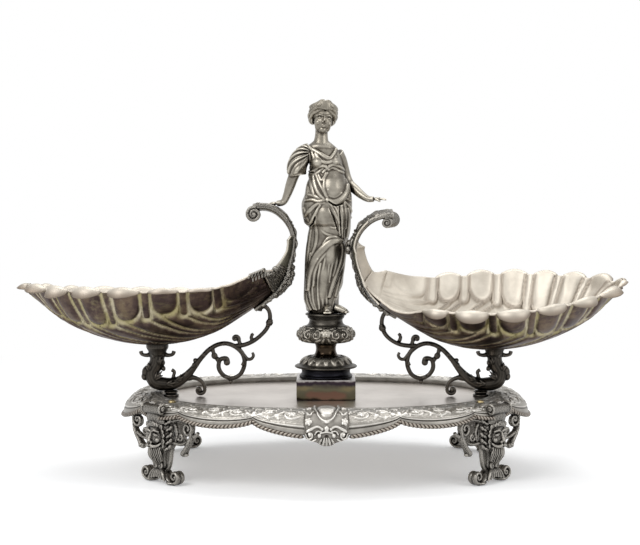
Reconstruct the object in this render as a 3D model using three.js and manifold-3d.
// Silver table centrepiece: a lobed plateau on four mask feet carries a turned pedestal with a draped
// figure and two cast scroll brackets, each of which holds a fluted shell dish with a scrolled handle.
// Millimetres, +Z up, origin on the table under the middle. +X is the long way, the front faces -Y.

import * as THREE from "three";
import { mergeVertices } from "three/addons/utils/BufferGeometryUtils.js";
import Module from "manifold-3d";

const wasm = await Module();
wasm.setup();

// Fits between pieces
const seatGap = 0.3;
const boreClearance = 0.35;

// Plateau: flat plate, stamped rim with lobed apron, roped edge moulding, cartouches. The plate is long
// enough for the brackets' spools to stand inside the riser.
const plateTop = 70;
const plateThickness = 2;
const spoolReach = 155;
const spoolRadius = 7.8;
const spoolToRiser = 1.2;
const plateHalfLength = spoolReach + spoolRadius + spoolToRiser;
const plateHalfDepth = 106;
const plateSquareness = 2.3;
const rimRise = 5;
const rimFlatLong = 20;
const rimFlatDeep = 27;
const rimSheet = 1.8;
const ropeRadius = 2.3;
const cartoucheHalfWidth = 19;
const cartoucheThickness = 2.6;
const pendantDrop = 9;
const bossRise = 3;

// Apron lobes round a quarter of the rim: end angle in degrees, then reach and drop at the middle
const apronLobes = [
  { until: 19, reach: 18, drop: 19 },
  { until: 37, reach: 10, drop: 10 },
  { until: 63, reach: 12, drop: 12 },
  { until: 117, reach: 17, drop: 19 },
];
const apronCuspReach = 7;
const apronCuspDrop = 6;
const stampedRise = 1.1;

// Feet, each facing out from a corner and standing a little inside the fold of the rim
const footSpread = 80;
const footInsideFold = 3.52;
const foldShare = 1 - (footSpread / (plateHalfDepth + rimFlatDeep)) ** plateSquareness;
const footReach = (plateHalfLength + rimFlatLong) * foldShare ** (1 / plateSquareness) - footInsideFold;
const footBaseSpan = 21;
const footBaseDepth = 14;
const footScrollRadius = 5.5;
const footWingSpan = 39;
const footWingHeight = 56;
const footWingRadius = 2.8;
const footVoluteRadius = 6;
const footVoluteLength = 22;
const footTabReach = 15;
const footTabWidth = 13;
const footTabThickness = 4.5;

// Screws and nuts
const screwRadius = 2;
const screwHeadRadius = 3.8;
const screwHeadHeight = 2.4;
const footScrewLength = 12;
const nutRadius = 4.6;
const nutHeight = 4;
const washerRadius = 6.5;
const washerThickness = 1.2;

// Pedestal, from the plinth up
const plinthSide = 58;
const plinthHeight = 19.6;
const plinthWall = 2;
const collarRadius = 26;
const collarHeight = 9;
const domeFlangeRadius = 31.2;
const domeHeight = 11;
const stemRadius = 10;
const stemHeight = 13;
const knopRadius = 28.6;
const knopHeight = 16;
const neckRadius = 16.5;
const neckFlareRadius = 20;
const neckHeight = 9;
const discRadius = 20.5;
const discHeight = 4;
const rodRadius = 3;
const rodIntoFigure = 18;

// Figure
const skirtRadius = 20;
const bodyDepthShare = 0.86;
const neckBaseRadius = 6.5;
const headRadius = 9.2;
const hairRadius = 15.2;
const headHeight = 36;
const chinHeight = 179.5;
const shoulderHeight = 163;
const rightHandHeight = 112.8;
const headAxisX = -5;
const wristRadius = 3.3;
const forearmRadius = 4.6;
const sleeveRadius = 9.2;

// Brackets: spool foot, cast body with scrolled branch, neck under the dish
const spoolHeight = 6.2;
const neckBeyondSpool = 13.5;
const neckReach = spoolReach + neckBeyondSpool;
const seatHeight = 123.5;
const bracketNeckRadius = 7.7;
const bracketFlareRadius = 11.5;
const bracketBodyRadius = 6;
const branchRadius = 2.3;
const branchKnobRadius = 3.5;
const bracketStudRadius = 2;
const bracketStudIntoBody = 7;

// Shell dishes, measured from the seat on the bracket. The handle's back stands off from the figure's axis.
const dishSheet = 1.6;
const dishTipReach = 128;
const dishTipRise = 50;
const handleStandOff = 31.5;
const handleBackReach = neckReach - handleStandOff;
const rootToHandleBack = 23.5;
const dishRootReach = handleBackReach - rootToHandleBack;
const dishRootRise = 48;
const dishRimHeight = 51;
const dishRootRimHeight = 71;
const dishHalfWidth = 75;
const dishRootHalfWidth = 33;
const dishSectionPower = 2.2;
const lipWidth = 9;
const lipDrop = 3;
const fluteDepth = 2.6;
const fluteSweep = 2.1;
const fluteFoot = 0.62;
const dishPastRoot = 24;

// Handle: the scrolled tail that carries on from the dish
const handleSheet = 3;
const handleLapSteps = 2;
const handleTopRise = 137;
const handleArcRadius = 35;
const handleHalfWidth = 11;
const handleChannelDepth = 9.5;
const handleTaperLength = 30;
const handleEndAngle = 62;
const voluteAngle = 80;
const voluteBigRadius = 8.5;
const voluteSmallRadius = 5;
const voluteLength = 24;
const dishStudRadius = 2.4;
const dishStudDown = 22;

// How each dish sits on its bracket, in degrees, and the notches between its broad flutes on either side,
// in millimetres along the rim from abreast of the seat
const rightDish = {
  roll: 10,
  pitch: 3,
  notchesMinusY: [-86, -48.5, -10.2, 28.5, 67, 104, 141],
  notchesPlusY: [-55, -20.5, 13.9, 48, 79, 110, 141],
};
const leftDish = {
  roll: 4,
  pitch: 0,
  notchesMinusY: [-67, -32, 3.6, 43, 82, 112, 141],
  notchesPlusY: [-67, -32, 3.6, 43, 82, 112, 141],
};

// Facets
const roundSides = 20;
const tubeSides = 6;
const curlSides = 5;
const smallSides = 10;
const rimSteps = 60;
const rowsPerFlute = 4;
const rowsAtTip = 2;
const ropeSteps = 40;
const sliver = 0.1;

// Heights that follow from the sizes above
const rimTop = plateTop + rimRise;
const plateBottom = plateTop - plateThickness;
const plinthTop = plateTop + seatGap + plinthHeight;
const collarBase = plinthTop + seatGap;
const domeBase = collarBase + collarHeight + seatGap;
const stemBase = domeBase + domeHeight + seatGap;
const knopBase = stemBase + stemHeight + seatGap;
const neckBase = knopBase + knopHeight + seatGap;
const discBase = neckBase + neckHeight + seatGap;
const figureBase = discBase + discHeight + seatGap;
const rodBore = rodRadius + boreClearance;

const degrees = (angle) => (angle * Math.PI) / 180;
const lerp = (a, b, t) => a + (b - a) * t;
const smooth = (t) => THREE.MathUtils.smoothstep(t, 0, 1);

// Finishes
const finishes = {
  satinSilver: new THREE.MeshStandardMaterial({ color: 0xcdc6bf, roughness: 0.35, metalness: 1 }),
  antiqueSilver: new THREE.MeshStandardMaterial({ color: 0x8d877c, roughness: 0.4, metalness: 1 }),
  oxidisedBronze: new THREE.MeshStandardMaterial({ color: 0x33312e, roughness: 0.45, metalness: 1 }),
  tarnishedShell: new THREE.MeshStandardMaterial({ color: 0x6b5f50, roughness: 0.35, metalness: 1 }),
  darkSilver: new THREE.MeshStandardMaterial({ color: 0x6d6a64, roughness: 0.42, metalness: 1 }),
  brass: new THREE.MeshStandardMaterial({ color: 0x8c7a4e, roughness: 0.4, metalness: 1 }),
};

// A closed surface from vertices and triangles, turned so that its faces point out
function closedGeometry(vertices, triangles) {
  let volume = 0;
  for (let i = 0; i < triangles.length; i += 3) {
    const [a, b, c] = [vertices[triangles[i]], vertices[triangles[i + 1]], vertices[triangles[i + 2]]];
    volume += a.dot(b.clone().cross(c));
  }
  const indices = volume < 0 ? triangles.slice().reverse() : triangles;
  const geometry = new THREE.BufferGeometry();
  geometry.setFromPoints(vertices);
  geometry.setIndex(indices);
  geometry.computeVertexNormals();
  return geometry;
}

// Rings of equal point count joined side by side, with a flat fan over each end
function loft(rings) {
  const count = rings[0].length;
  const vertices = rings.flat();
  const triangles = [];
  for (let i = 0; i + 1 < rings.length; i++) {
    for (let j = 0; j < count; j++) {
      const a = i * count + j;
      const b = i * count + ((j + 1) % count);
      triangles.push(a, b, a + count, b, b + count, a + count);
    }
  }
  for (const [start, flip] of [[0, true], [(rings.length - 1) * count, false]]) {
    for (let j = 1; j + 1 < count; j++) {
      const fan = [start, start + j, start + j + 1];
      triangles.push(...(flip ? fan.reverse() : fan));
    }
  }
  return closedGeometry(vertices, triangles);
}

// A sheet between two grids of points, closed along its edges; wrap joins the last row to the first
function sheet(front, back, wrap = false) {
  const rows = front.length;
  const columns = front[0].length;
  const vertices = [...front.flat(), ...back.flat()];
  const backStart = rows * columns;
  const triangles = [];
  const quad = (a, b, c, d) => triangles.push(a, b, c, a, c, d);
  const lastRow = wrap ? rows : rows - 1;
  for (let i = 0; i < lastRow; i++) {
    const near = i * columns;
    const far = ((i + 1) % rows) * columns;
    for (let j = 0; j + 1 < columns; j++) {
      quad(near + j, near + j + 1, far + j + 1, far + j);
      quad(backStart + near + j, backStart + far + j, backStart + far + j + 1, backStart + near + j + 1);
    }
    quad(near, far, backStart + far, backStart + near);
    const edge = columns - 1;
    quad(near + edge, backStart + near + edge, backStart + far + edge, far + edge);
  }
  if (!wrap) {
    const end = (rows - 1) * columns;
    for (let j = 0; j + 1 < columns; j++) {
      quad(j, backStart + j, backStart + j + 1, j + 1);
      quad(end + j, end + j + 1, backStart + end + j + 1, backStart + end + j);
    }
  }
  return closedGeometry(vertices, triangles);
}

// The unit normal at each point of a grid, from its neighbours
function gridNormals(grid, wrap = false) {
  const rows = grid.length;
  return grid.map((row, i) =>
    row.map((_, j) => {
      const before = wrap ? grid[(i + rows - 1) % rows][j] : grid[Math.max(i - 1, 0)][j];
      const after = wrap ? grid[(i + 1) % rows][j] : grid[Math.min(i + 1, rows - 1)][j];
      const along = after.clone().sub(before);
      const across = row[Math.min(j + 1, row.length - 1)].clone().sub(row[Math.max(j - 1, 0)]);
      return along.cross(across).normalize();
    })
  );
}

const offsetGrid = (grid, normals, distance) =>
  grid.map((row, i) => row.map((point, j) => point.clone().addScaledVector(normals[i][j], distance)));

// A rod of changing radius along a smooth line through stations of [x, y, z, radius]
function taperedTube(stations, steps, sides = tubeSides) {
  const points = stations.map(([x, y, z]) => new THREE.Vector3(x, y, z));
  const spine = new THREE.CatmullRomCurve3(points, false, "centripetal");
  const last = stations.length - 1;
  const up = new THREE.Vector3(0, 1, 0);
  const rings = [];
  let side = up.clone().cross(spine.getTangent(0));
  if (side.length() < 0.2) side.set(1, 0, 0);
  for (let i = 0; i <= steps; i++) {
    const t = i / steps;
    const tangent = spine.getTangent(t);
    side = side.clone().addScaledVector(tangent, -side.dot(tangent)).normalize();
    const other = tangent.clone().cross(side);
    const k = Math.min(Math.floor(t * last), last - 1);
    const radius = lerp(stations[k][3], stations[k + 1][3], t * last - k);
    const centre = spine.getPoint(t);
    const ring = [];
    for (let j = 0; j < sides; j++) {
      const angle = (2 * Math.PI * j) / sides;
      const point = centre.clone().addScaledVector(side, radius * Math.cos(angle));
      ring.push(point.addScaledVector(other, radius * Math.sin(angle)));
    }
    rings.push(ring);
  }
  return loft(rings);
}

// A turned piece about Z; the profile is a list of [radius, height] that closes on itself
function turned(profile, sides = roundSides) {
  const outline = [...profile, profile[0]].map(([radius, height]) => new THREE.Vector2(radius, height));
  return new THREE.LatheGeometry(outline, sides).rotateX(Math.PI / 2);
}

// A solid turned piece, from the axis at its foot to the axis at its top
function turnedSolid(profile, sides = roundSides) {
  const outline = [[0, profile[0][1]], ...profile, [0, profile[profile.length - 1][1]]];
  const points = outline.map(([radius, height]) => new THREE.Vector2(radius, height));
  return new THREE.LatheGeometry(points, sides).rotateX(Math.PI / 2);
}

const rod = (radius, bottom, top, sides = smallSides) =>
  new THREE.CylinderGeometry(radius, radius, top - bottom, sides)
    .rotateX(Math.PI / 2)
    .translate(0, 0, (bottom + top) / 2);

const block = (width, depth, bottom, top) =>
  new THREE.BoxGeometry(width, depth, top - bottom).translate(0, 0, (bottom + top) / 2);

const ball = (radius, x, y, z) => new THREE.IcosahedronGeometry(radius, 0).translate(x, y, z);

// Joins and cuts
function solidOf(geometry) {
  const bare = geometry.clone();
  bare.deleteAttribute("normal");
  bare.deleteAttribute("uv");
  const merged = mergeVertices(bare, 1e-4);
  const vertProperties = new Float32Array(merged.attributes.position.array);
  const triVerts = new Uint32Array(merged.index.array);
  return new wasm.Manifold(new wasm.Mesh({ numProp: 3, vertProperties, triVerts }));
}

function geometryOf(solid) {
  const mesh = solid.getMesh();
  const geometry = new THREE.BufferGeometry();
  geometry.setAttribute("position", new THREE.BufferAttribute(new Float32Array(mesh.vertProperties), 3));
  geometry.setIndex(new THREE.BufferAttribute(new Uint32Array(mesh.triVerts), 1));
  geometry.computeVertexNormals();
  return geometry;
}

const join = (...geometries) => geometries.map(solidOf).reduce((whole, piece) => whole.add(piece));

// The largest body that is left when the cutters are taken away, without slivers
function carve(solid, ...cutters) {
  const left = cutters.map(solidOf).reduce((rest, cutter) => rest.subtract(cutter), solid);
  const bodies = left.decompose().sort((a, b) => b.volume() - a.volume());
  return geometryOf(bodies[0].simplify(sliver));
}

const model = new THREE.Group();

function addPiece(parent, name, geometry, finish) {
  const mesh = new THREE.Mesh(geometry, finishes[finish]);
  mesh.name = name;
  parent.add(mesh);
  return mesh;
}

// Plateau outline: a superellipse in plan, given by its half axes and an angle
function ovalPoint(halfLength, halfDepth, angle, z) {
  const power = 2 / plateSquareness;
  const x = Math.sign(Math.cos(angle)) * halfLength * Math.abs(Math.cos(angle)) ** power;
  const y = Math.sign(Math.sin(angle)) * halfDepth * Math.abs(Math.sin(angle)) ** power;
  return new THREE.Vector3(x, y, z);
}

// Reach and drop of the apron at a point of the rim, from the lobe that the point is in
function apronAt(point) {
  const turn = (Math.atan2(Math.abs(point.y), Math.abs(point.x)) * 180) / Math.PI;
  const k = apronLobes.findIndex((lobe) => turn <= lobe.until);
  const lobe = apronLobes[k];
  const start = k === 0 ? -lobe.until : apronLobes[k - 1].until;
  const bulge = Math.sin((Math.PI * (turn - start)) / (lobe.until - start)) ** 0.6 || 0;
  return {
    reach: lerp(apronCuspReach, lobe.reach, bulge),
    drop: lerp(apronCuspDrop, lobe.drop, bulge),
  };
}

// Angles round the rim, placed so that every cusp between two lobes is one of them
function rimAngles() {
  const foldRatio = (plateHalfDepth + rimFlatDeep) / (plateHalfLength + rimFlatLong);
  const toParameter = (turn) => {
    const share = (Math.tan(degrees(turn)) / foldRatio) ** (plateSquareness / 2);
    return Math.atan(share);
  };
  const cusps = apronLobes.slice(0, -1).map((lobe) => toParameter(lobe.until));
  const stops = [0, ...cusps, Math.PI / 2];
  const quarter = [];
  for (let k = 0; k + 1 < stops.length; k++) {
    const steps = Math.max(3, Math.round((rimSteps / 4) * ((stops[k + 1] - stops[k]) / (Math.PI / 2))));
    for (let i = 0; i < steps; i++) quarter.push(lerp(stops[k], stops[k + 1], i / steps));
  }
  const mirrored = quarter.slice(1).map((angle) => Math.PI - angle).reverse();
  const half = [...quarter, Math.PI / 2, ...mirrored];
  return [...half, ...half.map((angle) => angle + Math.PI)];
}

// Rim section at one angle: up the riser, over the flat and down the apron
function rimRow(angle) {
  const fold = ovalPoint(plateHalfLength + rimFlatLong, plateHalfDepth + rimFlatDeep, angle, rimTop);
  const inner = ovalPoint(plateHalfLength, plateHalfDepth, angle, rimTop);
  const outward = new THREE.Vector3(fold.x - inner.x, fold.y - inner.y, 0).normalize();
  const { reach, drop } = apronAt(fold);
  const riserFoot = inner.clone().setZ(plateTop + seatGap);
  const shoulder = fold.clone().addScaledVector(outward, reach * 0.5);
  shoulder.z -= drop * 0.16;
  const brow = fold.clone().addScaledVector(outward, reach * 0.86);
  brow.z -= drop * 0.5;
  const edge = fold.clone().addScaledVector(outward, reach);
  edge.z -= drop;
  return [riserFoot, inner, fold, shoulder, brow, edge];
}

// Rows round the rim, every second one raised over the apron by a stamped boss of the scrollwork
function rimRows() {
  return rimAngles().map((angle, i) => {
    const row = rimRow(angle);
    const swell = new THREE.Vector3().subVectors(row[3], row[2]).setZ(0).normalize().multiplyScalar(0.5);
    swell.z = 0.85;
    if (i % 2) [row[3], row[4]].forEach((point) => point.addScaledVector(swell, stampedRise));
    return row;
  });
}

// The rim's sheet between two distances from its upper surface, its edges carried on by a margin
function rimSheets(above, below, margin = 0) {
  const top = rimRows();
  for (const row of top) {
    row[0].z -= margin;
    row[5].addScaledVector(row[5].clone().sub(row[4]).normalize(), margin);
  }
  const normals = gridNormals(top, true);
  const outside = normals[0][2].z > 0 ? 1 : -1;
  return sheet(offsetGrid(top, normals, above * outside), offsetGrid(top, normals, -below * outside), true);
}

const rimKeepOut = (gap = seatGap) => rimSheets(gap, rimSheet + gap, gap);

function plateShape() {
  const outline = rimAngles().map((angle) => {
    const point = ovalPoint(plateHalfLength, plateHalfDepth, angle, 0);
    return new THREE.Vector2(point.x, point.y);
  });
  return new THREE.Shape(outline);
}

function platePiece() {
  const depth = plateThickness;
  const plate = new THREE.ExtrudeGeometry(plateShape(), { depth, bevelEnabled: false });
  plate.translate(0, 0, plateBottom);
  const holes = [rod(rodBore, plateBottom - 1, plateTop + 1)];
  for (const side of [-1, 1]) {
    const hole = rod(bracketStudRadius + boreClearance, plateBottom - 1, plateTop + 1);
    holes.push(hole.translate(side * spoolReach, 0, 0));
  }
  addPiece(model, "plateau_plate", carve(solidOf(plate), ...holes), "satinSilver");
}

// The plate slides up inside the riser, which stands on the plate's edge; screws hold the feet below
function rimPiece() {
  const holes = footCorners().map(([x, y]) =>
    rod(screwRadius + boreClearance, rimTop - 10, rimTop + 5).translate(...tabCentre(x, y), 0)
  );
  addPiece(model, "plateau_rim", carve(solidOf(rimSheets(0, rimSheet)), ...holes), "antiqueSilver");
}

// Roped moulding under the apron's lower edge, one length on each side of the cartouches
function ropeGeometry(side, radius) {
  const points = rimAngles()
    .map(rimRow)
    .filter((row) => side * row[5].x > cartoucheHalfWidth + ropeRadius + 2)
    .map((row) => row[5].clone().setZ(row[5].z - ropeRadius - seatGap - 0.9));
  const jump = points.findIndex((point, i) => i > 0 && point.distanceTo(points[i - 1]) > plateHalfDepth);
  const ordered = jump > 0 ? [...points.slice(jump), ...points.slice(0, jump)] : points;
  const extrudePath = new THREE.CatmullRomCurve3(ordered, false, "centripetal");
  const section = new THREE.Shape();
  section.absarc(0, 0, radius, 0, 2 * Math.PI);
  return new THREE.ExtrudeGeometry(section, { steps: ropeSteps, curveSegments: 3, extrudePath });
}

function ropePieces() {
  for (const [name, side] of [["rope_moulding_left", -1], ["rope_moulding_right", 1]]) {
    const rope = solidOf(ropeGeometry(side, ropeRadius));
    addPiece(model, name, carve(rope, rimKeepOut()), "antiqueSilver");
  }
}

// Cartouche: a boss on the middle of the long side with a pendant below the apron
function cartoucheRow(x) {
  const row = rimRow(Math.PI / 2);
  const width = Math.abs(x) / cartoucheHalfWidth;
  const profile = [row[1].clone().lerp(row[2], 0.25), row[2], row[3], row[4], row[5]];
  const low = row[5].clone();
  low.z -= lerp(pendantDrop, pendantDrop * 0.2, width ** 2) + 1;
  low.y += 1.2;
  return [...profile, low].map((point) => point.clone().setX(x));
}

function cartouchePieces() {
  const columns = 8;
  for (const [name, turn] of [["front_cartouche", Math.PI], ["back_cartouche", 0]]) {
    const rows = [];
    for (let i = 0; i <= columns; i++) {
      rows.push(cartoucheRow(lerp(-cartoucheHalfWidth, cartoucheHalfWidth, i / columns)));
    }
    const normals = gridNormals(rows);
    const outside = normals[0][1].z > 0 ? 1 : -1;
    const lift = (i, j) => {
      const across = 1 - Math.abs((2 * i) / columns - 1) ** 2;
      return j > 0 && j < 4 ? bossRise * across : 0;
    };
    const face = rows.map((row, i) =>
      row.map((point, j) =>
        point.clone().addScaledVector(normals[i][j], outside * (seatGap + cartoucheThickness + lift(i, j)))
      )
    );
    const back = offsetGrid(rows, normals, outside * -3);
    const piece = carve(solidOf(sheet(face, back)), rimKeepOut());
    const holder = new THREE.Group();
    holder.rotation.z = turn;
    model.add(holder);
    addPiece(holder, name, piece, "antiqueSilver");
  }
}

// Feet
const footCorners = () => [[1, 1], [-1, 1], [-1, -1], [1, -1]];

function tabCentre(sideX, sideY) {
  const inward = footTabReach * Math.SQRT1_2 * 0.62;
  return [sideX * (footReach - inward), sideY * (footSpread - inward)];
}

// Foot casting in its own frame: x along the base, y outward from the corner, z up
function footBody() {
  const levels = [
    [7, 0, 9.2, 6.2],
    [23, 1, 11, 7.5],
    [34, 3, 15.5, 9.5],
    [45, 4, 18, 10.5],
    [56, 4, 17.5, 10],
    [64, 3, 13, 8],
    [70, 3, 10, 6],
  ];
  const sides = 8;
  const rings = levels.map(([height, outward, halfWidth, halfDepth]) => {
    const ring = [];
    for (let j = 0; j < sides; j++) {
      const angle = (2 * Math.PI * j) / sides;
      const y = outward + halfDepth * Math.sin(angle);
      ring.push(new THREE.Vector3(halfWidth * Math.cos(angle), y, height));
    }
    return ring;
  });
  return loft(rings);
}

function footBase() {
  const outline = new THREE.Shape();
  const centreHeight = footScrollRadius + 3;
  const inset = footBaseSpan - footScrollRadius * 0.6;
  outline.moveTo(-inset, 0);
  outline.lineTo(inset, 0);
  outline.absarc(footBaseSpan, centreHeight, footScrollRadius, degrees(-100), degrees(150), false);
  outline.lineTo(10, 10);
  outline.lineTo(7, 15);
  outline.lineTo(-7, 15);
  outline.lineTo(-10, 10);
  outline.absarc(-footBaseSpan, centreHeight, footScrollRadius, degrees(30), degrees(280), false);
  const options = { depth: footBaseDepth, bevelEnabled: false, curveSegments: 2 };
  const base = new THREE.ExtrudeGeometry(outline, options);
  return base.rotateX(Math.PI / 2).translate(0, footBaseDepth / 2 + 1, 0);
}

function footWing(side) {
  const scroll = [
    [14, 60, 3.2],
    [27, 63, 3],
    [footWingSpan, footWingHeight + 5, 3],
    [footWingSpan + 4.5, footWingHeight - 1, 3],
    [footWingSpan, footWingHeight - 5, 2.6],
    [footWingSpan - 4, footWingHeight - 1, 2.2],
  ];
  const leg = [
    [footWingSpan + 4, footWingHeight - 2, 2.6],
    [footWingSpan - 1, footWingHeight - 14, footWingRadius],
    [footWingSpan - 6, footWingHeight - 23, 2.6],
    [footWingSpan - 10, footWingHeight - 21, 2.2],
  ];
  const stay = [
    [15, 42, 3],
    [27, 41, 2.6],
    [footWingSpan - 2, footWingHeight - 13, 2.6],
  ];
  const place = (line) => line.map(([x, z, radius]) => [side * x, 1, z, radius]);
  return [
    taperedTube(place(scroll), 7, curlSides),
    taperedTube(place(leg), 4, curlSides),
    taperedTube(place(stay), 2, curlSides),
  ];
}

function footPieces() {
  const volute = new THREE.CylinderGeometry(footVoluteRadius, footVoluteRadius, footVoluteLength, 8)
    .rotateZ(Math.PI / 2)
    .translate(0, 9, plateTop);
  const tabTop = rimTop - rimSheet - 2 * seatGap;
  const tabBottom = tabTop - footTabThickness;
  const tab = block(footTabWidth, footTabReach + 6, tabBottom, tabTop)
    .translate(0, 3 - footTabReach / 2, 0);
  const whole = join(footBody(), footBase(), ...footWing(1), ...footWing(-1), volute, tab);
  const names = ["foot_back_right", "foot_back_left", "foot_front_left", "foot_front_right"];
  footCorners().forEach(([sideX, sideY], k) => {
    const placed = new THREE.Matrix4().makeTranslation(footReach, footSpread, 0);
    placed.multiply(new THREE.Matrix4().makeRotationZ(degrees(-45)));
    const mirror = new THREE.Matrix4().makeScale(sideX, sideY, 1);
    const standing = geometryOf(whole).applyMatrix4(placed);
    const [holeX, holeY] = tabCentre(1, 1);
    const hole = rod(screwRadius + boreClearance, tabBottom - 4, rimTop + 4).translate(holeX, holeY, 0);
    const ropeKeepOut = ropeGeometry(1, ropeRadius + 2 * seatGap);
    const cutters = [rimKeepOut(2 * seatGap), ropeKeepOut, hole, plateKeepOut()];
    const trimmed = carve(solidOf(standing), ...cutters);
    const screw = screwPiece(footScrewLength).translate(holeX, holeY, rimTop + seatGap);
    const holder = new THREE.Group();
    holder.applyMatrix4(mirror);
    model.add(holder);
    addPiece(holder, names[k], trimmed, "darkSilver");
    addPiece(holder, names[k].replace("foot", "foot_screw"), screw, "brass");
    const nut = nutPiece().translate(holeX, holeY, tabBottom - seatGap - nutHeight);
    addPiece(holder, names[k].replace("foot", "foot_nut"), nut, "brass");
  });
}

const plateKeepOut = () =>
  new THREE.ExtrudeGeometry(plateShape(), { depth: plateThickness + 2 * seatGap, bevelEnabled: false })
    .translate(0, 0, plateBottom - seatGap);

// Round-headed screw, head at z = 0 and shank below
const screwPiece = (length) =>
  turnedSolid([
    [screwRadius, -length],
    [screwRadius, 0],
    [screwHeadRadius, 0],
    [screwHeadRadius * 0.8, screwHeadHeight * 0.7],
    [screwHeadRadius * 0.3, screwHeadHeight],
  ], smallSides);

// Hexagon nut with a bore that clears the given rod
function nutPiece(boreRadius = screwRadius + boreClearance, radius = nutRadius, height = nutHeight) {
  const nut = new THREE.CylinderGeometry(radius, radius, height, 6).rotateX(Math.PI / 2);
  const solid = solidOf(nut.translate(0, 0, height / 2));
  return carve(solid, rod(boreRadius, -1, height + 1));
}

function washerPiece(boreRadius, radius = washerRadius) {
  const top = washerThickness;
  return turned([[boreRadius, 0], [radius, 0], [radius, top], [boreRadius, top]], smallSides);
}

// Pedestal
function pedestalPieces() {
  const plinth = solidOf(block(plinthSide, plinthSide, plateTop + seatGap, plinthTop));
  const inside = plinthSide - 2 * plinthWall;
  const hollow = block(inside, inside, plateTop - 1, plinthTop - plinthWall);
  const plinthBore = rod(rodBore, plateTop, plinthTop + 1);
  addPiece(model, "square_plinth", carve(plinth, hollow, plinthBore), "tarnishedShell");

  const collar = [
    [rodBore, collarBase],
    [collarRadius, collarBase],
    [collarRadius * 0.93, collarBase + collarHeight * 0.5],
    [collarRadius, collarBase + collarHeight],
    [rodBore, collarBase + collarHeight],
  ];
  addPiece(model, "pedestal_collar", turned(collar), "oxidisedBronze");

  const domeTop = domeBase + domeHeight;
  const dome = [
    [rodBore, domeBase],
    [domeFlangeRadius - 1, domeBase],
    [domeFlangeRadius, domeBase + 1],
    [domeFlangeRadius - 1.5, domeBase + 2.2],
    [lerp(domeFlangeRadius, stemRadius, 0.3), domeBase + domeHeight * 0.4],
    [lerp(domeFlangeRadius, stemRadius, 0.48), domeBase + domeHeight * 0.75],
    [stemRadius + 3.5, domeTop],
    [rodBore, domeTop],
  ];
  addPiece(model, "pedestal_dome", turned(dome), "darkSilver");

  const stemTop = stemBase + stemHeight;
  const stem = [
    [rodBore, stemBase],
    [stemRadius + 3, stemBase],
    [stemRadius + 0.8, stemBase + stemHeight * 0.25],
    [stemRadius, stemBase + stemHeight * 0.5],
    [stemRadius + 0.8, stemTop],
    [rodBore, stemTop],
  ];
  addPiece(model, "pedestal_stem", turned(stem), "tarnishedShell");

  const knopTop = knopBase + knopHeight;
  const knop = [[rodBore, knopBase], [stemRadius + 2, knopBase]];
  for (let i = 0; i <= 6; i++) {
    const angle = degrees(lerp(-75, 62, i / 6));
    const bulge = Math.cos(angle) ** 0.7;
    const radius = lerp(stemRadius + 3, knopRadius, bulge);
    knop.push([radius, lerp(knopBase + 0.5, knopTop - 1, (Math.sin(angle) + 0.97) / 1.86)]);
  }
  knop.push([neckFlareRadius + 0.8, knopTop], [rodBore, knopTop]);
  addPiece(model, "pedestal_knop", turned(knop), "darkSilver");

  const neckTop = neckBase + neckHeight;
  const neck = [
    [rodBore, neckBase],
    [neckFlareRadius, neckBase],
    [neckRadius + 0.8, neckBase + neckHeight * 0.35],
    [neckRadius, neckBase + neckHeight * 0.65],
    [neckRadius + 1.2, neckTop],
    [rodBore, neckTop],
  ];
  addPiece(model, "pedestal_neck", turned(neck), "darkSilver");

  const discTop = discBase + discHeight;
  const disc = [
    [rodBore, discBase],
    [discRadius - 0.8, discBase],
    [discRadius, discBase + 0.8],
    [discRadius - 1.4, discBase + 2.2],
    [discRadius - 0.6, discBase + 3.2],
    [discRadius - 1.2, discTop],
    [rodBore, discTop],
  ];
  addPiece(model, "figure_base_disc", turned(disc), "antiqueSilver");

  const washerTop = plateBottom - seatGap;
  const nutTop = washerTop - washerThickness - seatGap;
  const rodBottom = nutTop - nutHeight - 3;
  addPiece(model, "tie_rod", rod(rodRadius, rodBottom, figureBase + rodIntoFigure), "brass");
  const washer = washerPiece(rodBore, washerRadius + 2).translate(0, 0, washerTop - washerThickness);
  addPiece(model, "tie_rod_washer", washer, "brass");
  const nut = nutPiece(rodBore, nutRadius + 1.4).translate(0, 0, nutTop - nutHeight);
  addPiece(model, "tie_rod_nut", nut, "brass");
}

// Figure: levels of the draped body as [height, centre x, centre y, half width]
const bodyLevels = [
  [0, -1.5, 0, skirtRadius - 1.5],
  [4, -2.5, 0, skirtRadius - 1.5],
  [14, -4.5, 0, skirtRadius - 2.5],
  [30, -2, -1, skirtRadius - 1],
  [60, 0, -1.5, skirtRadius],
  [74, 0.5, -3, skirtRadius + 0.8],
  [90, 1, -1.5, skirtRadius + 2.6],
  [101, 1.5, 0, skirtRadius + 4.4],
  [109, 2, 0, skirtRadius + 4.6],
  [117, 3.5, 0, skirtRadius + 2.3],
  [128, 3.5, -1.5, skirtRadius - 1],
  [138, 2.5, -2, skirtRadius - 4],
  [146, -1, -2, skirtRadius - 4.2],
  [154, -3, -1.5, skirtRadius - 3],
  [162, -4, -0.5, skirtRadius - 3.2],
  [168, -4.7, 0, skirtRadius - 6.5],
  [171, headAxisX, 0, neckBaseRadius + 1],
];

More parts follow.
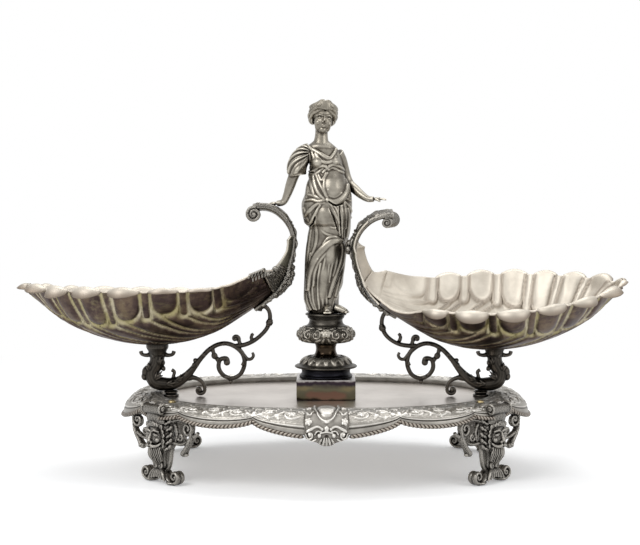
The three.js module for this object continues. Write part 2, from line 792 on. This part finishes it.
function bodyLoft(swell) {
  const sides = 22;
  const last = bodyLevels.length - 1;
  const rings = bodyLevels.map(([height, x, y, halfWidth], k) => {
    const level = figureBase + height + (k === 0 ? -swell : k === last ? swell : 0);
    const chest = 1 - 0.3 * smooth((height - 156) / 14);
    const halfDepth = halfWidth * bodyDepthShare * chest;
    const ring = [];
    for (let j = 0; j < sides; j++) {
      const angle = (2 * Math.PI * j) / sides;
      const fold = 1 + 0.045 * Math.cos(11 * angle + height * 0.03) * smooth((120 - height) / 60);
      ring.push(
        new THREE.Vector3(
          x + (halfWidth * fold + swell) * Math.cos(angle),
          y + (halfDepth * fold + swell) * Math.sin(angle),
          level
        )
      );
    }
    return ring;
  });
  return loft(rings);
}

// Toes of both feet in front of the hem
function figureFeet() {
  const toe = (x, y, turnAngle, length) =>
    taperedTube([
      [x, y, figureBase + 6, 4.5],
      [x + Math.cos(turnAngle) * length * 0.5, y + Math.sin(turnAngle) * length * 0.5, figureBase + 4.3, 4],
      [x + Math.cos(turnAngle) * length, y + Math.sin(turnAngle) * length, figureBase + 3, 2.9],
    ], 4, 8);
  return [toe(0.5, -12, degrees(-88), 7), toe(12, -6, degrees(-22), 9.5)];
}

function figureHead() {
  const chin = figureBase + chinHeight;
  const rise = (share) => chin + headHeight * share;
  const profile = [
    [neckBaseRadius, figureBase + shoulderHeight + 1],
    [5.9, chin - 5],
    [5.4, chin],
    [headRadius - 2.4, rise(0.06)],
    [headRadius, rise(0.22)],
    [headRadius, rise(0.42)],
    [hairRadius - 2.2, rise(0.5)],
    [hairRadius, rise(0.64)],
    [hairRadius - 1, rise(0.78)],
    [hairRadius - 4.5, rise(0.92)],
    [hairRadius - 10, rise(1)],
  ];
  return turnedSolid(profile, 16).translate(headAxisX, 0, 0);
}

function figurePieces() {
  const body = join(bodyLoft(0), ...figureFeet());
  const bore = rod(rodBore, figureBase - 1, figureBase + rodIntoFigure + 1);
  const floor = block(4 * skirtRadius, 4 * skirtRadius, figureBase - skirtRadius, figureBase);
  addPiece(model, "figure_body", carve(body, bore, floor), "antiqueSilver");

  const keepOut = bodyLoft(seatGap);
  addPiece(model, "figure_head", carve(solidOf(figureHead()), keepOut), "antiqueSilver");

  const wristHeight = handRestHeight(57) + wristRadius + 0.8;
  const leftArm = [
    [-16, 0, figureBase + shoulderHeight, sleeveRadius - 2.4],
    [-23, -0.5, figureBase + shoulderHeight - 7, sleeveRadius - 0.6],
    [-30, -1, figureBase + 146, sleeveRadius],
    [-32.5, -1, figureBase + 138, sleeveRadius - 1.6],
    [-34, -0.5, figureBase + 131, forearmRadius],
    [-38, 1, figureBase + 121, forearmRadius - 0.5],
    [-41.5, 4, wristHeight + 0.6, wristRadius],
    [-49, 7, wristHeight + 0.4, wristRadius],
    [-57, 9, wristHeight, wristRadius],
    [-64, 10, handRestHeight(64) + wristRadius - 1.2, wristRadius - 1.6],
  ];
  const rightArm = [
    [12, 2, figureBase + shoulderHeight - 4, sleeveRadius - 1.6],
    [15.5, 6, figureBase + 149, sleeveRadius - 2.6],
    [19, 9.5, figureBase + 138, forearmRadius + 0.6],
    [23, 9, figureBase + 129.5, forearmRadius + 0.3],
    [29, 2, figureBase + 124.5, forearmRadius],
    [37.5, -5, figureBase + 117, forearmRadius - 0.6],
    [45.5, -9, figureBase + rightHandHeight, wristRadius],
    [52, -11, figureBase + rightHandHeight, wristRadius],
    [59, -12.5, figureBase + rightHandHeight - 0.5, wristRadius - 1.6],
  ];
  const leftSolid = solidOf(taperedTube(leftArm, 18, 8));
  const rightSolid = solidOf(taperedTube(rightArm, 16, 8));
  const headKeepOut = figureHead();
  addPiece(model, "figure_arm_left", carve(leftSolid, keepOut, headKeepOut), "antiqueSilver");
  addPiece(model, "figure_arm_right", carve(rightSolid, keepOut, headKeepOut), "antiqueSilver");
}

// Shell dish, in a frame whose origin is the seat: x toward the tip, y across, z up
function bowlSpineZ(x) {
  if (x > 0) return dishTipRise * (x / dishTipReach) ** 2.1;
  return dishRootRise * (x / dishRootReach) ** 2;
}

function bowlHalfWidth(x) {
  if (x > 0) return Math.max(dishHalfWidth * (1 - (x / dishTipReach) ** 1.8) ** 0.8 || 0, 2.5);
  return dishHalfWidth - (dishHalfWidth - dishRootHalfWidth) * (x / dishRootReach) ** 2;
}

function bowlRimZ(x) {
  if (x > 0) return dishRimHeight + (dishTipRise + 3 - dishRimHeight) * (x / dishTipReach) ** 2;
  return dishRimHeight + (dishRootRimHeight - dishRimHeight) * (-x / dishRootReach) ** 3;
}

// Places along the rim in plan, with the distance to each from abreast of the seat
const rimPlaces = (() => {
  const steps = 480;
  const places = [{ x: -dishRootReach, distance: 0 }];
  for (let i = 1; i <= steps; i++) {
    const x = lerp(-dishRootReach, dishTipReach, i / steps);
    const last = places[i - 1];
    const run = Math.hypot(x - last.x, bowlHalfWidth(x) - bowlHalfWidth(last.x));
    places.push({ x, distance: last.distance + run });
  }
  const seat = places.find((place) => place.x >= 0).distance;
  return places.map(({ x, distance }) => ({ x, distance: distance - seat }));
})();

function rimX(distance) {
  const k = rimPlaces.findIndex((place) => place.distance >= distance);
  if (k < 1) return k === 0 ? -dishRootReach : dishTipReach;
  const [before, after] = [rimPlaces[k - 1], rimPlaces[k]];
  return lerp(before.x, after.x, (distance - before.distance) / (after.distance - before.distance));
}

// Where a count of flutes lies on one side: 0 at the tail's root, then the notches, and the tip half a
// flute past the last of them
function fluteX(notches, count) {
  const stops = [rimPlaces[0].distance, ...notches, rimPlaces[rimPlaces.length - 1].distance];
  const k = Math.min(Math.floor(count), notches.length);
  const share = k === notches.length ? 2 * (count - k) : count - k;
  return rimX(lerp(stops[k], stops[k + 1], share));
}

// Tail line beyond the root: up from the bowl and round the back of the handle's arc
const tailCurve = (() => {
  const arcX = -handleBackReach + handleArcRadius;
  const arcZ = handleTopRise - handleArcRadius;
  const before = -dishRootReach * 0.85;
  const points = [[before, bowlSpineZ(before)], [-dishRootReach, dishRootRise]];
  const kneeX = lerp(-dishRootReach, -handleBackReach, 0.62);
  points.push([kneeX, lerp(dishRootRise, arcZ, 0.36)]);
  for (let angle = 186; angle >= handleEndAngle; angle -= (186 - handleEndAngle) / 6) {
    const turn = degrees(angle);
    points.push([arcX + handleArcRadius * Math.cos(turn), arcZ + handleArcRadius * Math.sin(turn)]);
  }
  const places = points.map(([x, z]) => new THREE.Vector3(x, 0, z));
  const line = new THREE.CatmullRomCurve3(places, false, "centripetal");
  line.arcLengthDivisions = 600;
  return line;
})();

// Share of the tail line's length that lies before the root
const tailRootShare = (() => {
  const lengths = tailCurve.getLengths();
  const total = lengths[lengths.length - 1];
  const before = lengths[Math.round((lengths.length - 1) / (tailCurve.points.length - 1))];
  return before / total;
})();
const tailLength = tailCurve.getLength() * (1 - tailRootShare);

// Spine point, rim direction and size at a place along the bowl
function bowlStation(x, count) {
  const spineZ = bowlSpineZ(x);
  const slope = x < 0 ? (2 * dishRootRise * -x) / dishRootReach ** 2 : 0;
  const lean = x < 0 ? Math.atan(slope) * 0.55 * smooth((-x - 40) / (dishRootReach - 40)) : 0;
  const length = (bowlRimZ(x) - spineZ) / Math.cos(lean);
  return { x, z: spineZ, lean, length, halfWidth: bowlHalfWidth(x), lip: lipAt(x), count };
}

// The same at a distance up the tail from its root
function tailStation(past) {
  const share = tailRootShare + (past / tailLength) * (1 - tailRootShare);
  const point = tailCurve.getPointAt(Math.min(share, 1));
  const tangent = tailCurve.getTangentAt(Math.min(share, 1));
  const turn = Math.atan2(tangent.z, -tangent.x);
  const steepness = turn < -Math.PI / 2 ? turn + 2 * Math.PI : turn;
  const lean = steepness * lerp(0.55, 1, smooth(past / 55));
  const rootLean = Math.atan((2 * dishRootRise) / dishRootReach) * 0.55;
  const rootLength = (dishRootRimHeight - dishRootRise) / Math.cos(rootLean);
  const fade = Math.exp(-past / handleTaperLength);
  return {
    x: point.x,
    z: point.z,
    lean,
    length: lerp(handleChannelDepth, rootLength, fade),
    halfWidth: lerp(handleHalfWidth, dishRootHalfWidth, fade),
    lip: 0,
    count: 0,
  };
}

const lipAt = (x) => lipWidth * smooth((x + 99) / 40);

// One scallop from 0 at its ends to 1 in the middle
const scallop = (count) => Math.abs(Math.sin(Math.PI * count)) ** 0.5;

// A row across the dish runs aslant, from a flute's place on one side to its place on the other
function rowStation(row, side, inside) {
  if (row.past !== undefined) return tailStation(row.past);
  const middle = (row.minusX + row.plusX) / 2;
  return bowlStation(lerp(middle, side < 0 ? row.minusX : row.plusX, inside), row.count);
}

// Outer surface of the dish or handle: across runs from -1 to 1 between the rims, past 1 over the lip
function shellPoint(row, across) {
  const side = Math.sign(across) || 1;
  const inside = Math.min(Math.abs(across), 1);
  const over = Math.abs(across) - inside;
  const station = rowStation(row, side, inside);
  const rise = station.length * inside ** dishSectionPower;
  const sweep = station.count + fluteSweep * Math.max(fluteFoot - inside, 0);
  const fluted = smooth((station.x + 92) / 40) * smooth((inside - 0.25) / 0.4);
  const flute = fluteDepth * (scallop(sweep) - 0.3) * fluted;
  const point = new THREE.Vector3(
    station.x + rise * Math.sin(station.lean),
    side * (station.halfWidth * inside + flute * 0.7),
    station.z + rise * Math.cos(station.lean) - flute * 0.7
  );
  if (over > 0) {
    const before = bowlHalfWidth(station.x - 0.5);
    const after = bowlHalfWidth(station.x + 0.5);
    const plan = new THREE.Vector3(before - after, side, 0).normalize();
    point.addScaledVector(plan, station.lip * over * lerp(0.3, 1, scallop(station.count)));
    point.z -= lipDrop * over ** 2 * (station.lip / lipWidth);
  }
  return point;
}

function fluteRow(attitude, count) {
  const { notchesMinusY, notchesPlusY } = attitude;
  return { count, minusX: fluteX(notchesMinusY, count), plusX: fluteX(notchesPlusY, count) };
}

// Rows from a step of the root's side of the bowl back to the end of the dish, past the root
function lapRows(attitude, firstStep) {
  const rows = [];
  for (let i = firstStep; i >= 0; i--) rows.push(fluteRow(attitude, i / rowsPerFlute));
  for (const share of [0.33, 0.67, 1]) rows.push({ past: dishPastRoot * share });
  return rows;
}

function dishRows(attitude) {
  const flutes = attitude.notchesPlusY.length;
  const rows = [];
  for (let i = rowsAtTip; i > 0; i--) rows.push(fluteRow(attitude, flutes + (0.5 * i) / rowsAtTip));
  return [...rows, ...lapRows(attitude, flutes * rowsPerFlute)];
}

const dishAcross = [0, 0.2, 0.45, fluteFoot, 0.82, 1, 2];
const bothSides = (values) => [...values.slice(1).reverse().map((value) => -value), ...values];

function shellSheet(rows, across, low, high) {
  const grid = rows.map((row) => across(row).map((value) => shellPoint(row, value)));
  const normals = gridNormals(grid);
  const middle = Math.floor(grid[0].length / 2);
  const inward = Math.sign(normals[0][middle].z);
  return sheet(offsetGrid(grid, normals, high * inward), offsetGrid(grid, normals, low * inward));
}

const dishValues = (row) =>
  bothSides(dishAcross).map((value) => {
    const bare = rowStation(row, value, 1).lip < 0.5;
    return Math.abs(value) > 1 && bare ? Math.sign(value) * 1.02 : value;
  });

const dishSheets = (attitude, low, high) => shellSheet(dishRows(attitude), dishValues, low, high);

// The handle laps the dish's root on the same rows, then runs on to its volute
function handleRows(attitude) {
  const rows = lapRows(attitude, handleLapSteps);
  const steps = 12;
  for (let i = 1; i <= steps; i++) rows.push({ past: lerp(dishPastRoot, tailLength, i / steps) });
  return rows;
}

const handleValues = (row) => {
  const reach = row.count > 0 ? 0.84 : 0.93;
  return bothSides([...dishAcross.filter((value) => value < reach), reach]);
};

const handleSheets = (attitude, low, high) => shellSheet(handleRows(attitude), handleValues, low, high);

// Conical volute that the handle's end runs into, wide end on the +Y side
function voluteDrum() {
  const arcX = -handleBackReach + handleArcRadius;
  const arcZ = handleTopRise - handleArcRadius;
  const reach = handleArcRadius + 2 * seatGap + handleSheet * 0.6 - voluteBigRadius;
  const drum = new THREE.CylinderGeometry(voluteBigRadius, voluteSmallRadius, voluteLength, 14);
  const angle = degrees(voluteAngle);
  return drum.translate(0, 1, 0).applyMatrix4(
    new THREE.Matrix4().makeTranslation(arcX + reach * Math.cos(angle), 0, arcZ + reach * Math.sin(angle))
  );
}

// Height that the dish's first facets have gained at a distance from the seat
const seatRise = (distance) =>
  Math.max(bowlSpineZ(distance), bowlSpineZ(-distance)) +
  (dishRimHeight * dishAcross[1] ** dishSectionPower * distance) / (dishAcross[1] * dishHalfWidth);

const dishMatrix = ({ roll, pitch }) =>
  new THREE.Matrix4()
    .makeTranslation(neckReach, 0, seatHeight)
    .multiply(new THREE.Matrix4().makeRotationY(degrees(-pitch)))
    .multiply(new THREE.Matrix4().makeRotationX(degrees(roll)));

// Height just over the back of the left handle's arc at a distance from the figure's axis
function handRestHeight(reach) {
  const centre = new THREE.Vector3(-handleBackReach + handleArcRadius, 0, handleTopRise - handleArcRadius);
  centre.applyMatrix4(dishMatrix(leftDish));
  const backRadius = handleArcRadius + handleSheet + 3 * seatGap;
  return centre.z + Math.sqrt(backRadius ** 2 - (reach - centre.x) ** 2) + seatGap;
}

// Underside height of the handle's root where the branch tip meets it
function branchTarget(attitude, reach) {
  const matrix = dishMatrix(attitude);
  const below = handleSheet + 3 * seatGap;
  const underside = handleRows(attitude)
    .map((row) => rowStation(row, 1, 0))
    .filter((station) => station.z < dishRootRimHeight)
    .map((station) => new THREE.Vector3(station.x, 0, station.z - below).applyMatrix4(matrix))
    .sort((a, b) => Math.abs(a.x - reach) - Math.abs(b.x - reach));
  return underside[0].z;
}

// Cast bracket in the arm frame: x outward from the pedestal, z up
function bracketPiece(attitude) {
  const bodyTop = plateTop + 2 * seatGap + spoolHeight;
  const low = bodyTop + bracketBodyRadius - 1.3;
  const lipX = 66;
  const tipTop = branchTarget(attitude, lipX);
  const settle = tipTop - 163.5;
  const body = taperedTube([
    [neckReach, 0, seatHeight - 6, bracketNeckRadius],
    [neckReach + 1, 0, 104, bracketNeckRadius - 0.4],
    [neckReach + 6, 0, 93, bracketNeckRadius - 0.5],
    [neckReach + 2, 0, low + 2.5, bracketBodyRadius + 0.3],
    [spoolReach + 4, 0, low, bracketBodyRadius],
    [spoolReach - 6, 0, low + 2.2, bracketBodyRadius - 0.4],
    [spoolReach - 16, 0, low + 9, bracketBodyRadius - 1.6],
    [132, 0, 99, 3.4],
    [126, 0, 107, 2.7],
    [116, 0, 117.5, 2.4],
    [107, 0, 122.2, branchRadius],
    [99, 0, 123, branchRadius],
    [90, 0, 119.5, branchRadius],
    [83, 0, 112, branchRadius],
    [81.5, 0, 102, branchRadius],
    [86, 0, 91.8, branchRadius],
    [94.5, 0, 88, branchRadius],
    [103, 0, 91.5, branchRadius],
    [107.3, 0, 99, branchRadius],
    [105.5, 0, 107, 2.2],
    [99.5, 0, 107.5, 2.6],
    [99, 0, 103.5, 2.6],
  ], 29, tubeSides);
  const upper = taperedTube([
    [90, 0, 121, branchRadius],
    [82, 0, 121.5, branchRadius],
    [73, 0, 125.3 + settle * 0.3, branchRadius],
    [64.5, 0, 131.6 + settle * 0.6, branchRadius],
    [58.5, 0, 139 + settle * 0.8, branchRadius],
    [55.5, 0, 148 + settle, branchRadius],
    [56.5, 0, 156 + settle, branchRadius],
    [61, 0, 160.5 + settle, branchRadius + 0.2],
    [66, 0, 160 + settle, 2.6],
    [67, 0, 156 + settle, 2.2],
  ], 12, curlSides);
  const hook = taperedTube([
    [138, 0, 88, 3.4],
    [130, 0, 87.5, 2.4],
    [122.5, 0, 83, 2],
    [121, 0, 77, 2],
    [124, 0, plateTop + seatGap + 2.4, 2],
    [128, 0, plateTop + seatGap + 3.4, 2.3],
  ], 6, curlSides);
  const curl = (stations) => taperedTube(stations, stations.length, curlSides);
  const topCurl = curl([[84, 0, 120.5, 2], [86, 0, 126, 2], [90.5, 0, 130, 2.6], [93, 0, 127, 2]]);
  const sideHook = curl([[81, 0, 108, 2], [76, 0, 107, 2], [72.5, 0, 111, 2.2], [74, 0, 114, 1.8]]);
  const innerCurl = taperedTube([[151, 0, 84, 2.4], [151, 0, 91, 2], [154, 0, 94, 2.6]], 3, curlSides);
  const collarHook = (side) =>
    taperedTube([
      [neckReach + side * 6, 0, 113, 2.6],
      [neckReach + side * 12, 0, 112, 2.2],
      [neckReach + side * 16.5, 0, 114.5, 2.6],
    ], 2, curlSides);
  const flare = turnedSolid([
    [bracketNeckRadius, seatHeight - 14],
    [bracketNeckRadius, seatHeight - 8],
    [bracketFlareRadius - 1.5, seatHeight - 4],
    [bracketFlareRadius, seatHeight + 4],
  ], smallSides).translate(neckReach, 0, 0);
  const leaf = ball(6, neckReach + 9.5, 0, 94);
  const knob = ball(branchKnobRadius, 57, 0, 144 + settle * 0.9);
  const bud = ball(2.6, 129.5, 0, 105.5);
  const knot = ball(3.4, 111.5, 0, 111.5);
  const finial = ball(2.4, 95.5, 0, 85);
  const knotStem = taperedTube([[114, 0, 118, 2], [111, 0, 110, 2], [106.5, 0, 104, 2]], 2, curlSides);
  const budStem = taperedTube([[125, 0, 107, 2], [131, 0, 105, 1.6]], 1, curlSides);
  const whole = join(
    body, upper, hook, topCurl, sideHook, innerCurl, collarHook(1), collarHook(-1),
    flare, leaf, knob, bud, knot, finial, knotStem, budStem
  );
  const underSeat = block(spoolRadius * 2 + 5, 30, plateTop - 20, bodyTop).translate(spoolReach, 0, 0);
  const studTop = bodyTop + bracketStudIntoBody + 0.5;
  const studBore = rod(bracketStudRadius + boreClearance, plateTop, studTop).translate(spoolReach, 0, 0);
  const matrix = dishMatrix(attitude);
  const dishBore = rod(dishStudRadius + boreClearance, -dishStudDown - 1, 30).applyMatrix4(matrix);
  const dishCut = dishSheets(attitude, -seatGap, dishSheet + 12).applyMatrix4(matrix);
  const handleCut = handleSheets(attitude, -handleSheet - 3 * seatGap, 1).applyMatrix4(matrix);
  return carve(whole, underSeat, studBore, dishBore, dishCut, handleCut);
}

function spoolPiece() {
  const bottom = plateTop + seatGap;
  const top = bottom + spoolHeight;
  const bore = bracketStudRadius + boreClearance;
  return turned([
    [bore, bottom],
    [spoolRadius, bottom],
    [spoolRadius, bottom + spoolHeight * 0.2],
    [spoolRadius * 0.75, bottom + spoolHeight * 0.45],
    [spoolRadius * 0.85, bottom + spoolHeight * 0.75],
    [spoolRadius * 0.8, top],
    [bore, top],
  ], smallSides).translate(spoolReach, 0, 0);
}

// One arm: spool, bracket and their stud on the plateau, dish and handle with their stud and nut
function armPieces(side, turn, attitude) {
  const arm = new THREE.Group();
  arm.rotation.z = turn;
  model.add(arm);
  addPiece(arm, `bracket_spool_${side}`, spoolPiece(), "oxidisedBronze");
  addPiece(arm, `bracket_${side}`, bracketPiece(attitude), "oxidisedBronze");

  const washerTop = plateBottom - seatGap;
  const nutTop = washerTop - washerThickness - seatGap;
  const studBottom = nutTop - nutHeight - 2;
  const studTop = plateTop + 2 * seatGap + spoolHeight + bracketStudIntoBody;
  const stud = rod(bracketStudRadius, studBottom, studTop).translate(spoolReach, 0, 0);
  addPiece(arm, `bracket_stud_${side}`, stud, "brass");
  const studBore = bracketStudRadius + boreClearance;
  const washer = washerPiece(studBore).translate(spoolReach, 0, washerTop - washerThickness);
  addPiece(arm, `bracket_washer_${side}`, washer, "brass");
  const nut = nutPiece(studBore).translate(spoolReach, 0, nutTop - nutHeight);
  addPiece(arm, `bracket_nut_${side}`, nut, "brass");

  const dish = new THREE.Group();
  dish.applyMatrix4(dishMatrix(attitude));
  arm.add(dish);
  const dishBore = dishStudRadius + boreClearance;
  const bowl = carve(solidOf(dishSheets(attitude, 0, dishSheet)), rod(dishBore, -5, dishSheet + 5));
  addPiece(dish, `dish_${side}`, bowl, "tarnishedShell");
  const handle = join(handleSheets(attitude, -handleSheet - 2 * seatGap, -2 * seatGap), voluteDrum());
  addPiece(dish, `dish_handle_${side}`, geometryOf(handle), "darkSilver");
  const washerBase = dishSheet + seatGap + seatRise(washerRadius);
  const nutBase = washerBase + washerThickness + seatGap;
  addPiece(dish, `dish_stud_${side}`, rod(dishStudRadius, -dishStudDown, nutBase + nutHeight + 1.5), "brass");
  addPiece(dish, `dish_washer_${side}`, washerPiece(dishBore).translate(0, 0, washerBase), "satinSilver");
  const dishNut = nutPiece(dishBore, nutRadius + 0.6).translate(0, 0, nutBase);
  addPiece(dish, `dish_nut_${side}`, dishNut, "satinSilver");
}

platePiece();
rimPiece();
ropePieces();
cartouchePieces();
footPieces();
pedestalPieces();
figurePieces();
armPieces("right", 0, rightDish);
armPieces("left", Math.PI, leftDish);

export default model;
